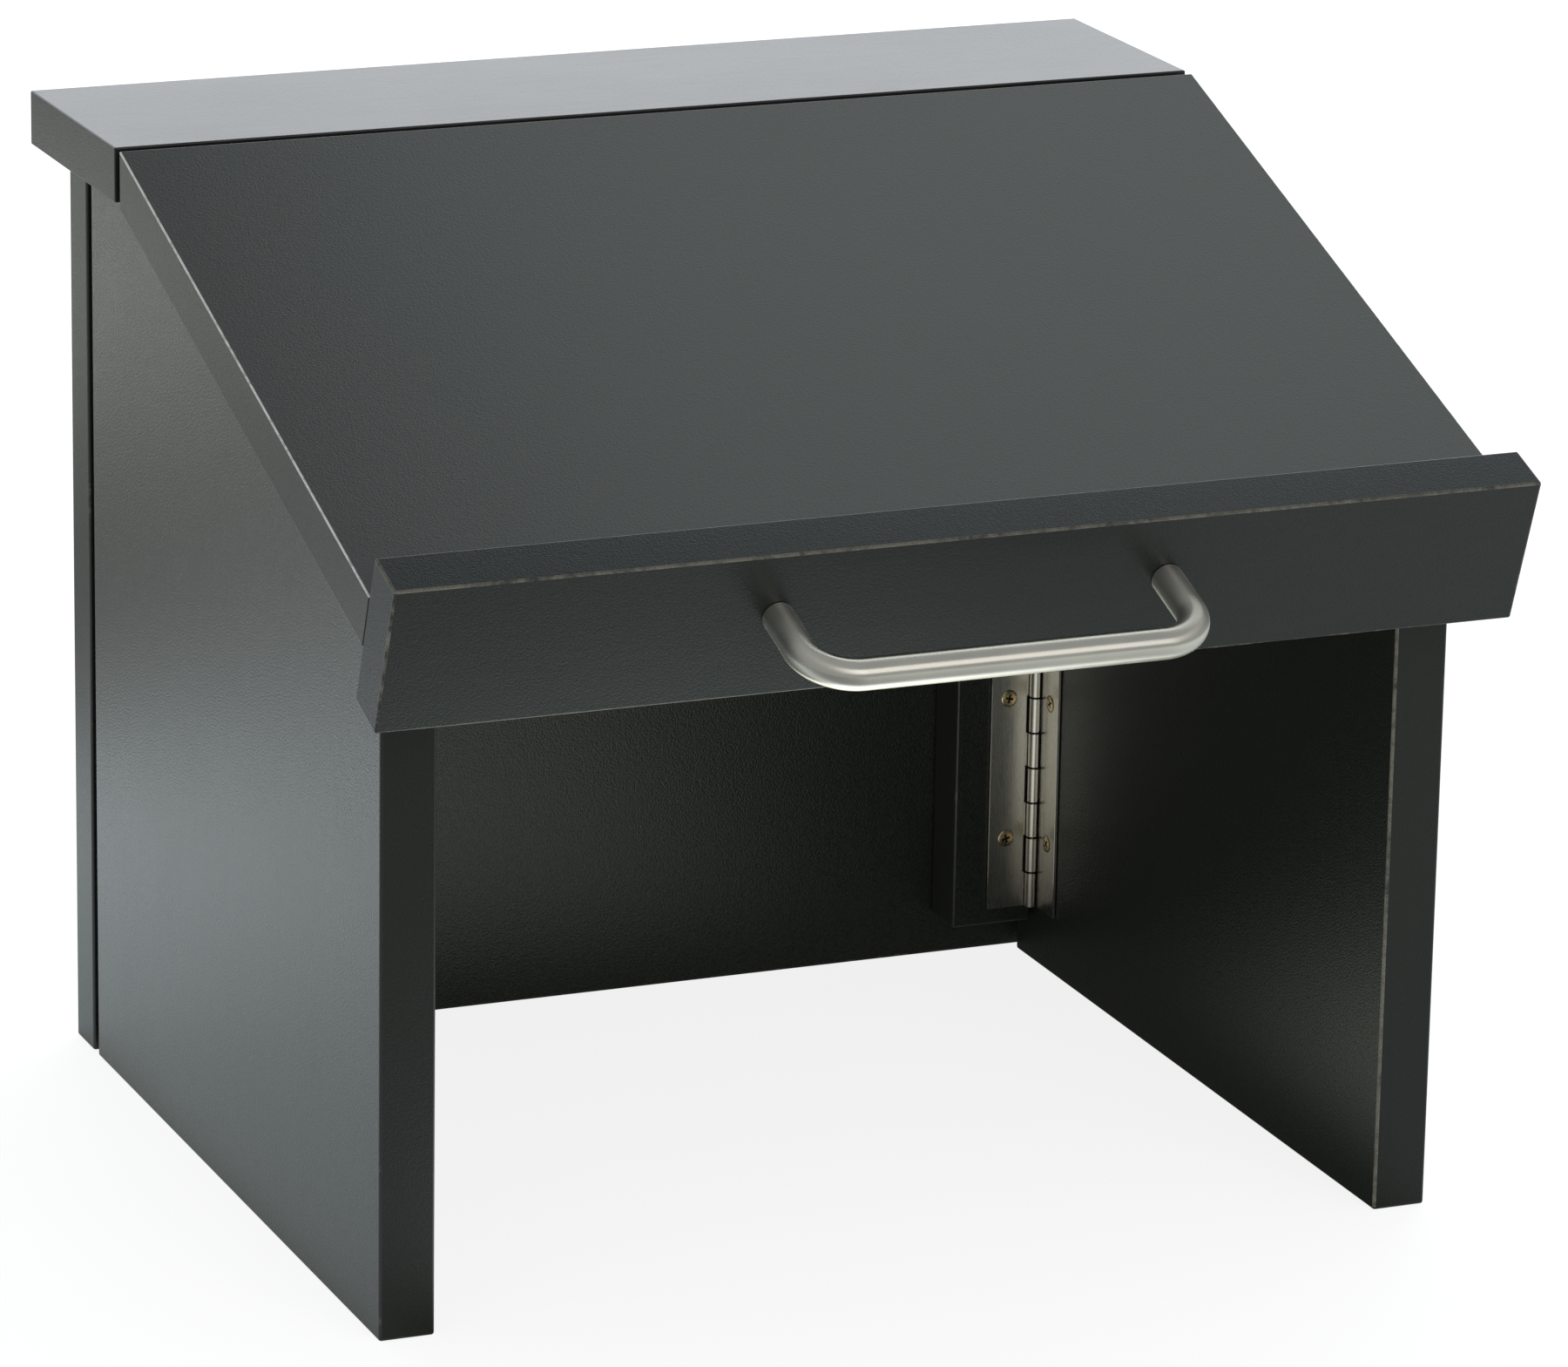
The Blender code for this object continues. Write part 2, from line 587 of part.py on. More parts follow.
def main():
    clear_scene()
    materials = {name: make_material(name) for name in COLOURS}
    laminate, zinc, beech = materials["laminate"], materials["zinc"], materials["beech"]

    back = add_back(laminate)
    shelf = add_shelf(laminate)
    batten = add_batten(laminate)
    left_axis, left = add_side("left_panel", -1, LEFT_PIN_Y, laminate)
    right_axis, right = add_side("right_panel", 1, RIGHT_PIN_Y, laminate)
    board_axis = make_empty("reading_board_axis", (0, BOARD_PIN_Y, BOARD_PIN_Z), (SLOPE, 0, 0))
    board = add_reading_board(board_axis, laminate)
    lip = add_lip(board_axis, laminate)

    screw = screw_mesh(SCREW_LENGTH, zinc)
    screw_hole = screw_clearance(SCREW_LENGTH, 3 * MM)
    add_side_hinge("left_hinge", -1, left_axis, left, back, materials, screw, screw_hole)
    add_side_hinge("right_hinge", 1, right_axis, right, batten, materials, screw, screw_hole)
    add_board_hinge(board_axis, board, shelf, materials, screw, screw_hole)
    add_batten_screws(batten, back, zinc)

    dowel = dowel_mesh()
    shelf_joint = (0, REAR_FACE - BOARD / 2, SHELF_UNDERSIDE)
    lip_joint = (0, LIP_REAR, BOARD_UNDER + BOARD / 2)
    add_dowels("shelf", dowel, (0, 0, 1), shelf_joint, (1, 0, 0), None, beech, shelf, back)
    add_dowels("lip", dowel, (0, -1, 0), lip_joint, (1, 0, 0), board_axis, beech, lip, board)

    add_handle(board_axis, materials["steel"])
    add_handle_bolts(board_axis, lip, zinc)


main()
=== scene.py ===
"""Folding tabletop lectern: the visible model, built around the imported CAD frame."""
import json
import math
import random

import bmesh
import bpy
from mathutils import Matrix, Vector


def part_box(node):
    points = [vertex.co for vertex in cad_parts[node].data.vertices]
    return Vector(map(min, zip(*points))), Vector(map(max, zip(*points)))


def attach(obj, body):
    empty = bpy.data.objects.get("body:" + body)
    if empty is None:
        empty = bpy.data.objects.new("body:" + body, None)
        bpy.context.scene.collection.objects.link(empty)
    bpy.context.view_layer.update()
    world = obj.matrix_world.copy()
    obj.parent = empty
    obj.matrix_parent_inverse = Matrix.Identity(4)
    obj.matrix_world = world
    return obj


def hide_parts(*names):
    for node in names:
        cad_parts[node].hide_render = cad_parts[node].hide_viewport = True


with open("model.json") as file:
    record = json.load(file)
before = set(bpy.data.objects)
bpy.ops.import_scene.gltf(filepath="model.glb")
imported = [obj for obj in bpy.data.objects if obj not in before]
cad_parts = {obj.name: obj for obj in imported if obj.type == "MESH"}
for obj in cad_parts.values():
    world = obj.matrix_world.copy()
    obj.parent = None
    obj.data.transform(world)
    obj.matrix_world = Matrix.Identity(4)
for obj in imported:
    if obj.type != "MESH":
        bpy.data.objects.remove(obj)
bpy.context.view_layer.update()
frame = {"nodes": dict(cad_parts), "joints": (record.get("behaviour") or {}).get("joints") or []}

MM = 0.001
BOARD = 18 * MM
SLOPE = math.radians(19.3)

# Boards
EDGE = 0.9 * MM  # rounding of the uprights' edges
SHELF_EDGE = 0.6 * MM
READING_EDGE = 0.5 * MM
LIP_EDGE = 0.8 * MM
EDGE_SEGMENTS = 3
FROM_BEVEL = 9  # marks the rounded faces until they get their own material
READING_LENGTH = 251 * MM  # along the slope, from the board's top end to the lip
READING_GAP = 0.3 * MM  # between the board's lower end and the lip
REST_GAP = 0.4 * MM  # between the side panels and the reading board
LIP_WIDTH = 51 * MM
LIP_ABOVE = 14 * MM  # the lip's top above the reading surface

# Hinges
KNUCKLE = 12.7 * MM
KNUCKLES = 20
KNUCKLE_R = 2.2 * MM
KNUCKLE_GAP = 0.55 * MM
LEAF = 1.0 * MM
LEAF_WIDTH = 16 * MM
LEAF_NOTCH = 2.75 * MM
SCREW_FROM_PIN = 9.5 * MM
FIRST_SCREW = 2 * KNUCKLE
SCREW_PITCH = 4 * KNUCKLE
SCREWS = 5
HEAD_R = 2.9 * MM
HEAD_DOME = 0.3 * MM
SHANK_TOP_R = 1.45 * MM
SHANK_R = 1.4 * MM
CROSS_ARM = 1.65 * MM
CROSS_HALF = 0.42 * MM
CROSS_TAPER = 0.45  # the recess's foot, as a share of its mouth
SINK_MOUTH_R = HEAD_R + 0.55 * MM
SINK_FOOT_R = HEAD_R - 0.85 * MM
PIN_R = 0.9  # in mm, like PIN_END_R
PIN_END_R = 0.7

# Handle
HANDLE_CENTRES = 128 * MM
HANDLE_R = 5 * MM
HANDLE_REACH = 33 * MM
HANDLE_BEND = 15 * MM
HANDLE_DROP = 22 * MM  # its axis below the lip's top
UV_PER_METRE = 10

# Camera
CAMERA_PLACE = (-0.93410, -2.23912, 0.87995)
CAMERA_TURN = (1.83649, -0.35252, 0.28641)  # axis times angle
CAMERA_LENS = 180.9
CAMERA_SENSOR = 36

JOINTS = {joint["name"]: joint for joint in frame["joints"]}
COS, SIN, TAN = math.cos(SLOPE), math.sin(SLOPE), math.tan(SLOPE)


# ---------------------------------------------------------------- small mesh helpers


def mesh_object(name, bm, body, materials, smooth=True, angle=40):
    bmesh.ops.recalc_face_normals(bm, faces=bm.faces)
    mesh = bpy.data.meshes.new(name)
    bm.to_mesh(mesh)
    bm.free()
    made = bpy.data.objects.new(name, mesh)
    bpy.context.scene.collection.objects.link(made)
    for material in materials:
        mesh.materials.append(material)
    if smooth:
        mesh.shade_smooth()
        mesh.set_sharp_from_angle(angle=math.radians(angle))
    if body:
        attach(made, body)
    return made


def evaluated_copy(made):
    """The object's mesh with modifiers applied, in place of its own."""
    graph = bpy.context.evaluated_depsgraph_get()
    mesh = bpy.data.meshes.new_from_object(made.evaluated_get(graph))
    old = made.data
    made.modifiers.clear()
    made.data = mesh
    bpy.data.meshes.remove(old)
    return made


# ---------------------------------------------------------------- node helpers


class Nodes:
    """A few short calls to build a material's nodes."""

    def __init__(self, name):
        self.material = bpy.data.materials.new(name)
        self.material.use_nodes = True
        self.tree = self.material.node_tree
        self.shader = self.tree.nodes["Principled BSDF"]

    def node(self, kind, links=None, **settings):
        made = self.tree.nodes.new(kind)
        for key, value in settings.items():
            setattr(made, key, value)
        for key, value in (links or {}).items():
            self.feed(made.inputs[key], value)
        return made

    def feed(self, socket, value):
        if isinstance(value, bpy.types.NodeSocket):
            self.tree.links.new(value, socket)
        else:
            socket.default_value = value

    def feed_colour(self, socket, value):
        self.feed(socket, (*value, 1) if isinstance(value, tuple) else value)

    def coords(self, kind="Object", scale=(1, 1, 1)):
        texture = self.node("ShaderNodeTexCoord")
        mapping = self.node("ShaderNodeMapping", {"Vector": texture.outputs[kind], "Scale": scale})
        return mapping.outputs["Vector"]

    def noise(self, vector, scale, detail, roughness):
        links = {"Vector": vector, "Scale": scale, "Detail": detail, "Roughness": roughness}
        return self.node("ShaderNodeTexNoise", links).outputs["Fac"]

    def ramp(self, factor, stops):
        made = self.node("ShaderNodeValToRGB", {"Fac": factor})
        elements = made.color_ramp.elements
        while len(elements) < len(stops):
            elements.new(0.5)
        for element, (position, colour) in zip(elements, stops):
            element.position = position
            element.color = (*colour, 1)
        return made.outputs["Color"]

    def between(self, factor, low, high, first=0.0, last=1.0):
        """Remaps a factor from low..high to first..last, clamped."""
        links = {"Value": factor, "From Min": low, "From Max": high, "To Min": first, "To Max": last}
        return self.node("ShaderNodeMapRange", links).outputs["Result"]

    def maths(self, operation, a, b=0.0):
        made = self.node("ShaderNodeMath", operation=operation)
        self.feed(made.inputs[0], a)
        self.feed(made.inputs[1], b)
        return made.outputs[0]

    def mix(self, factor, a, b, blend="MIX"):
        made = self.node("ShaderNodeMix", data_type="RGBA", blend_type=blend)
        self.feed(made.inputs[0], factor)
        self.feed_colour(made.inputs[6], a)
        self.feed_colour(made.inputs[7], b)
        return made.outputs[2]

    def tinted(self, colour, tone):
        """The colour, lighter and darker with the tone."""
        grey = self.node("ShaderNodeCombineColor", {"Red": tone, "Green": tone, "Blue": tone}).outputs[0]
        return self.mix(1.0, colour, grey, "MULTIPLY")

    def bump(self, height, strength, distance, normal=None):
        links = {"Height": height, "Strength": strength, "Distance": distance}
        made = self.node("ShaderNodeBump", links)
        if normal is not None:
            self.feed(made.inputs["Normal"], normal)
        return made.outputs["Normal"]

    def set(self, **values):
        names = {"colour": "Base Color", "metallic": "Metallic", "roughness": "Roughness",
                 "normal": "Normal", "specular": "Specular IOR Level", "anisotropic": "Anisotropic",
                 "tangent": "Tangent"}
        for key, value in values.items():
            self.feed_colour(self.shader.inputs[names[key]], value)
        return self.material


# ---------------------------------------------------------------- materials

CHARCOAL = (0.0130, 0.0152, 0.0132)
BAND = (0.0145, 0.0163, 0.0142)
WORN = (0.150, 0.142, 0.115)
# pale colour of the painted highlight on the reading surface's side arrises
ARRIS_PAINTED_HIGHLIGHT = (0.85, 0.86, 0.83)
HINGE_STEEL = (0.50, 0.475, 0.435)
LAMINATE_ROUGH = 0.30


def scaled(colour, share):
    return tuple(share * c for c in colour)


def laminate(name, colour=CHARCOAL, along=(1, 0, 0), specular=0.40, grain=1.0):
    """Charcoal melamine: satin, with a fine pearl grain and very faint clouding along one direction."""
    m = Nodes(name)
    plain = m.coords()
    stretch = tuple(0.10 if axis else 1.0 for axis in along)
    streaks = m.noise(m.coords(scale=stretch), 420, 3, 0.5)
    pores = m.noise(plain, 1500, 2, 0.5)
    clouds = m.noise(plain, 14, 2, 0.5)
    cloudy = m.between(clouds, 0.1, 0.9, -0.05, 0.05)
    tone = m.maths("ADD", m.between(streaks, 0.1, 0.9, 0.92, 1.08), cloudy)
    tone = m.maths("ADD", tone, m.between(pores, 0.1, 0.9, -0.45 * grain, 0.45 * grain))
    base = m.tinted(colour, tone)
    rough = m.maths("ADD", m.between(streaks, 0.1, 0.9, LAMINATE_ROUGH - 0.015, LAMINATE_ROUGH + 0.015),
                    m.between(clouds, 0.1, 0.9, -0.012, 0.012))
    return m.set(colour=base, roughness=rough, normal=m.bump(pores, 0.60, 0.00014 * grain),
                 specular=specular)


def edge_band(name, colour, specular, grain_depth):
    """The grainier tape on the boards' edges."""
    m = Nodes(name)
    plain = m.coords()
    grain = m.noise(plain, 1500, 3, 0.6)
    lumps = m.noise(plain, 520, 2, 0.5)
    base = m.tinted(colour, m.between(grain, 0.3, 0.7, 0.86, 1.14))
    normal = m.bump(grain, 0.6, grain_depth, m.bump(lumps, 0.15, 0.0002))
    return m.set(colour=base, roughness=0.35, normal=normal, specular=specular)


def worn_edge(name, amount):
    """Rounded arrises, where the tape's trimmed edge shows tan and is chipped in places. amount is how
    much of it shows, from 0 to 1."""
    m = Nodes(name)
    plain = m.coords()
    chips = m.noise(plain, 260, 5, 0.65)
    patches = m.noise(plain, 28, 3, 0.55)
    grain = m.noise(plain, 1900, 2, 0.6)
    level = m.maths("ADD", m.maths("MULTIPLY", chips, 0.6), m.maths("MULTIPLY", patches, 0.4))
    low = 0.66 - 0.34 * amount
    show = m.between(level, low, low + 0.17)
    worn = m.mix(m.between(grain, 0.3, 0.7), scaled(WORN, 0.62), scaled(WORN, 1.25))
    base = m.mix(show, scaled(BAND, 1.05), worn)
    rough = m.between(show, 0, 1, 0.36, 0.62)
    normal = m.bump(chips, 0.4, 0.0002)
    return m.set(colour=base, roughness=rough, normal=normal)


def painted_highlight_arris():
    """A painted highlight: pale colour along the reading surface's side arrises, where its laminate ends
    over the side tape, dimmer in places.
    """
    m = Nodes("painted_highlight_arris")
    plain = m.coords()
    chips = m.noise(plain, 300, 4, 0.6)
    grain = m.noise(plain, 1900, 2, 0.6)
    highlight_breaks = m.between(chips, 0.36, 0.52, 0.6, 1.0)
    tone = m.maths("MULTIPLY", highlight_breaks, m.between(grain, 0.2, 0.8, 0.8, 1.1))
    return m.set(colour=m.tinted(ARRIS_PAINTED_HIGHLIGHT, tone), roughness=0.22, specular=0.6)


def brushed(name, colour, direction, roughness):
    """Satin metal with fine lines along one of its axes, or with "UV" along the handle's rod."""
    m = Nodes(name)
    if direction == "UV":
        lines = m.noise(m.coords("UV", (1.0, 24.0, 1.0)), 150, 4, 0.65)
    else:
        stretch = tuple(0.02 if axis else 1.0 for axis in direction)
        lines = m.noise(m.coords(scale=stretch), 3200, 3, 0.6)
    cloud = m.noise(m.coords(), 70, 3, 0.5)
    cloudy = m.between(cloud, 0.1, 0.9, -0.10, 0.10)
    base = m.tinted(colour, m.maths("ADD", m.between(lines, 0.2, 0.8, 0.80, 1.12), cloudy))
    rough = m.maths("ADD", m.between(lines, 0.1, 0.9, roughness - 0.05, roughness + 0.05),
                    m.between(cloud, 0.1, 0.9, -0.04, 0.04))
    normal = m.bump(lines, 0.10, 0.00003)
    if direction == "UV":
        along_rod = m.node("ShaderNodeTangent", direction_type="UV_MAP").outputs["Tangent"]
        m.set(anisotropic=0.85, tangent=along_rod)
    return m.set(colour=base, metallic=1.0, roughness=rough, normal=normal)


def plated(name, colour, roughness=0.26):
    """Yellow zinc: warm metal that darkens in patches."""
    m = Nodes(name)
    plain = m.coords()
    cloud = m.noise(plain, 900, 4, 0.6)
    stain = m.noise(plain, 330, 2, 0.5)
    base = m.mix(m.between(cloud, 0.35, 0.7), scaled(colour, 0.55), colour)
    base = m.mix(m.between(stain, 0.5, 0.7, 0, 0.5), base, (0.50, 0.40, 0.30))
    rough = m.between(cloud, 0.3, 0.7, roughness - 0.05, roughness + 0.12)
    return m.set(colour=base, metallic=1.0, roughness=rough, normal=m.bump(cloud, 0.2, 0.00005))


def timber():
    m = Nodes("beech_dowel")
    grain = m.noise(m.coords(scale=(1, 1, 0.05)), 900, 3, 0.6)
    base = m.mix(m.between(grain, 0.3, 0.7), (0.42, 0.27, 0.14), (0.62, 0.45, 0.28))
    return m.set(colour=base, roughness=0.6)


MAT = {
    "board": laminate("laminate_reading_board", along=(1, 0, 0)),
    "shelf": laminate("laminate_shelf", along=(1, 0, 0)),
    "lip": laminate("laminate_lip", (0.0120, 0.0148, 0.0136), along=(1, 0, 0)),
    "upright": laminate("laminate_upright", (0.0098, 0.0116, 0.0092), along=(0, 0, 1),
                        specular=0.46, grain=2.4),
    "band": edge_band("edge_band", BAND, 0.28, 0.00022),
    "lip_band": edge_band("edge_band_lip", (0.0122, 0.0150, 0.0148), 0.17, 0.00028),
    "worn_light": worn_edge("worn_edge_light", 0.25),
    "worn_mid": worn_edge("worn_edge_mid", 0.55),
    "worn_heavy": worn_edge("worn_edge_heavy", 0.9),
    # a painted highlight: pale colour on the reading surface's side arrises
    "painted_arris_highlight": painted_highlight_arris(),
    "handle": brushed("satin_handle", (0.80, 0.765, 0.69), "UV", 0.33),
    "hinge_upright": brushed("hinge_steel_upright", HINGE_STEEL, (0, 0, 1), 0.28),
    "hinge_level": brushed("hinge_steel_level", HINGE_STEEL, (1, 0, 0), 0.28),
    "pin": brushed("pin_steel", (0.50, 0.49, 0.47), (0, 0, 1), 0.35),
    "zinc": plated("yellow_zinc", (0.78, 0.60, 0.34)),
    # the screws' cross recesses: a dark colour that paints the shade in them
    "painted_shade_recess": plated("screw_recess_painted_shade", (0.16, 0.11, 0.07), 0.55),
    "dowel": timber(),
}

# ---------------------------------------------------------------- boards


def world_of_board(y, z):
    """From the reading board's own axes, about its pin, to the row frame."""
    pin = JOINTS["reading_board_lift"]["pos_m"]
    return pin[1] + y * COS - z * SIN, pin[2] + y * SIN + z * COS


def rounded_board(name, body, outline, x0, x1, laminated, wear_and_highlight, material, radius=EDGE, band="band"):
    """A laminated board: a prism along X whose outline is (y, z) points in order. laminated(normal)
    says which faces are laminate, and the others are edge band. wear(point, normals) gives the material
    index of a rounded edge: 2 lightly worn, 3 middling, 4 heavily worn, 5 the painted highlight on the
    reading surface's side arrises."""
    bm = bmesh.new()
    lower = [bm.verts.new((x0, y, z)) for y, z in outline]
    upper = [bm.verts.new((x1, y, z)) for y, z in outline]
    count = len(outline)
    bm.faces.new(lower)
    bm.faces.new(list(reversed(upper)))
    for k in range(count):
        after = (k + 1) % count
        bm.faces.new((lower[k], upper[k], upper[after], lower[after]))
    bmesh.ops.recalc_face_normals(bm, faces=bm.faces)
    flat = []
    for face in bm.faces:
        face.material_index = 0 if laminated(face.normal) else 1
        flat.append((face.normal.copy(), face.calc_center_median().copy()))
    bmesh.ops.bevel(bm, geom=list(bm.edges), offset=radius, offset_type="OFFSET",
                    segments=EDGE_SEGMENTS, profile=0.5, affect="EDGES", clamp_overlap=True,
                    material=FROM_BEVEL)
    for face in bm.faces:
        if face.material_index == FROM_BEVEL:
            centre = face.calc_center_median()
            reach = radius * 1.01
            near = [normal for normal, place in flat if abs((centre - place).dot(normal)) < reach]
            face.material_index = wear_and_highlight(centre, near)
    materials = [material, MAT[band], MAT["worn_light"], MAT["worn_mid"], MAT["worn_heavy"], MAT["painted_arris_highlight"]]
    made = mesh_object(name, bm, body, materials, angle=50)
    weighted = made.modifiers.new("flat_faces", "WEIGHTED_NORMAL")
    weighted.keep_sharp = True
    return made


def box_outline(low, high):
    return [(low.y, low.z), (high.y, low.z), (high.y, high.z), (low.y, high.z)]


def faces_that(*wanted):
    """True for a normal that lies along one of the given directions, either way."""
    return lambda normal: any(abs(normal.dot(Vector(w).normalized())) > 0.9 for w in wanted)


def has(normals, direction):
    return any(normal.dot(Vector(direction).normalized()) > 0.9 for normal in normals)


def lightly_worn(point, normals):
    return 2


def build_boards():
    up = (0, -SIN, COS)  # out of the reading surface
    down_slope = (0, -COS, -SIN)

    low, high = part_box("back_panel")
    made = rounded_board("back_board", "base", box_outline(low, high), low.x, high.x,
                         faces_that((0, 1, 0)), lightly_worn, MAT["upright"])
    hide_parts("back_panel")

    low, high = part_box("top_shelf")
    made = rounded_board("shelf_board", "base", box_outline(low, high), low.x, high.x,
                         faces_that((0, 0, 1)), lightly_worn, MAT["shelf"], SHELF_EDGE)
    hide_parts("top_shelf")

    low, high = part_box("hinge_batten")
    made = rounded_board("batten_board", "base", box_outline(low, high), low.x, high.x,
                         faces_that((0, 1, 0)), lightly_worn, MAT["upright"])
    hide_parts("hinge_batten")

    shelf_low, shelf_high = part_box("top_shelf")
    pin = JOINTS["reading_board_lift"]["pos_m"]
    top_y = 2 * pin[1] - shelf_low.y
    under_at_top = shelf_high.z - BOARD / COS

    def side_wear(point, normals):
        if has(normals, (0, -1, 0)) and not has(normals, (0, 0, -1)):
            return 4 if (has(normals, (-1, 0, 0)) and point.x > 0) else 2
        return 2

    for side in ("left", "right"):
        low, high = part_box(side + "_panel")
        front = under_at_top - (top_y - low.y) * TAN - REST_GAP
        outline = [(low.y, low.z), (high.y, low.z), (high.y, high.z), (top_y, high.z), (low.y, front)]
        made = rounded_board(side + "_board", side + "_side", outline, low.x, high.x,
                             faces_that((1, 0, 0)), side_wear, MAT["upright"])
        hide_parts(side + "_panel")

    low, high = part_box("reading_board")
    offset = shelf_low.y - pin[1]
    surface = offset * SIN + BOARD * COS
    under = surface - BOARD
    surface_top = (surface * SIN - offset) / COS
    under_top = (under * SIN - offset) / COS
    lip_rear = surface_top - READING_LENGTH
    points = [(under_top, under), (surface_top, surface), (lip_rear + READING_GAP, surface),
              (lip_rear + READING_GAP, under)]
    outline = [world_of_board(y, z) for y, z in points]

    def board_wear_and_highlight(point, normals):
        at_side = has(normals, (-1, 0, 0)) or has(normals, (1, 0, 0))
        # material 5 is the painted highlight on the reading surface's side arrises, 2 is light wear
        return 5 if has(normals, up) and at_side else 2

    made = rounded_board("slope_board", "reading_desk", outline, low.x, high.x, faces_that(up),
                         board_wear_and_highlight, MAT["board"], READING_EDGE)
    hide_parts("reading_board")

    lip_face = lip_rear - BOARD
    lip_top = surface + LIP_ABOVE
    lip_base = lip_top - LIP_WIDTH
    points = [(lip_face, lip_base), (lip_rear, lip_base), (lip_rear, lip_top), (lip_face, lip_top)]
    outline = [world_of_board(y, z) for y, z in points]

    def lip_wear(point, normals):
        at_left = has(normals, (-1, 0, 0))
        if has(normals, down_slope):
            return 4 if has(normals, up) else 3
        return 4 if at_left and has(normals, up) else 2

    made = rounded_board("lip_board", "reading_desk", outline, low.x, high.x, faces_that(down_slope),
                         lip_wear, MAT["lip"], LIP_EDGE, band="lip_band")
    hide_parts("front_lip")
    return lip_face, lip_top


# ---------------------------------------------------------------- handle


def build_handle(lip_face, lip_top):
    half = HANDLE_CENTRES / 2
    corner = half - HANDLE_BEND
    straight = HANDLE_REACH - HANDLE_BEND
    bend_steps, bar_steps, sides = 20, 8, 40
    right = [(half, 0.0), (half, -straight * 0.5)]
    for k in range(bend_steps + 1):
        angle = math.pi / 2 * k / bend_steps
        right.append((corner + HANDLE_BEND * math.cos(angle), -straight - HANDLE_BEND * math.sin(angle)))
    middle = [(corner * (1 - 2 * k / bar_steps), -HANDLE_REACH) for k in range(1, bar_steps)]
    left = [(-x, y) for x, y in reversed(right)]
    path = [Vector((x, y, 0)) for x, y in right + middle + left]
    path[0].y = path[-1].y = -0.3 * MM
    bm = bmesh.new()
    uv = bm.loops.layers.uv.new("UVMap")
    rings, travelled = [], [0.0]
    for k, point in enumerate(path):
        before, after = path[max(k - 1, 0)], path[min(k + 1, len(path) - 1)]
        tangent = (after - before).normalized()
        if k:
            travelled.append(travelled[-1] + (point - path[k - 1]).length)
        across = tangent.cross(Vector((0, 0, 1))).normalized()
        ring = []
        for side in range(sides):
            angle = 2 * math.pi * side / sides
            spoke = across * math.cos(angle) + Vector((0, 0, 1)) * math.sin(angle)
            ring.append(bm.verts.new(point + spoke * HANDLE_R))
        rings.append(ring)
    around = 2 * math.pi * HANDLE_R
    for k in range(len(rings) - 1):
        for side in range(sides):
            after = (side + 1) % sides
            near, far = rings[k], rings[k + 1]
            face = bm.faces.new((near[side], near[after], far[after], far[side]))
            u0, u1 = travelled[k], travelled[k + 1]
            v0, v1 = around * side / sides, around * (side + 1) / sides
            for loop, place in zip(face.loops, ((u0, v0), (u0, v1), (u1, v1), (u1, v0))):
                loop[uv].uv = (place[0] * UV_PER_METRE, place[1] * UV_PER_METRE)
    bm.faces.new(rings[0])
    bm.faces.new(rings[-1])
    y, z = world_of_board(lip_face, lip_top - HANDLE_DROP)
    bm.transform(Matrix.Translation((0, y, z)) @ Matrix.Rotation(SLOPE, 4, "X"))
    made = mesh_object("bow_handle", bm, "reading_desk", [MAT["handle"]], angle=60)
    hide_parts("pull_handle")


# ---------------------------------------------------------------- hinges


def leaf_section():
    """A leaf and its knuckle, rolled about (0, 0). The leaf runs along -X with its back at +Y."""
    inner = KNUCKLE_R - LEAF
    first, last, steps = math.pi / 2, math.radians(-200), 30
    angles = [first + (last - first) * k / steps for k in range(steps + 1)]
    outside = [(KNUCKLE_R * math.cos(a), KNUCKLE_R * math.sin(a)) for a in angles]
    inside = [(inner * math.cos(a), inner * math.sin(a)) for a in reversed(angles)]
    return outside, inside


def cut(made, cutter):
    """Takes the cutter's shape out of a mesh, and removes the cutter."""
    modifier = made.modifiers.new("cut", "BOOLEAN")
    modifier.operation = "DIFFERENCE"
    modifier.solver = "EXACT"
    modifier.object = cutter
    evaluated_copy(made)
    bpy.data.objects.remove(cutter)


def countersinks(to_row, material):
    """The five screw holes of a leaf, as one mesh of cones to cut out of it."""
    sides = 32
    face = KNUCKLE_R - LEAF
    angles = [2 * math.pi * side / sides for side in range(sides)]
    profile = [(SINK_MOUTH_R, face - 0.4 * MM), (SINK_FOOT_R, face + LEAF + 0.01 * MM),
               (SINK_FOOT_R, face + LEAF + 0.5 * MM)]
    bm = bmesh.new()
    for k in range(SCREWS):
        rings = []
        for radius, y in profile:
            places = [(radius * math.cos(a) - SCREW_FROM_PIN, y,
                       radius * math.sin(a) + FIRST_SCREW + k * SCREW_PITCH) for a in angles]
            rings.append([bm.verts.new(place) for place in places])
        for first, second in zip(rings, rings[1:]):
            for side in range(sides):
                after = (side + 1) % sides
                bm.faces.new((first[side], first[after], second[after], second[side]))
        bm.faces.new(rings[0])
        bm.faces.new(list(reversed(rings[-1])))
    bm.transform(to_row)
    return mesh_object("countersinks", bm, None, [material], smooth=False)


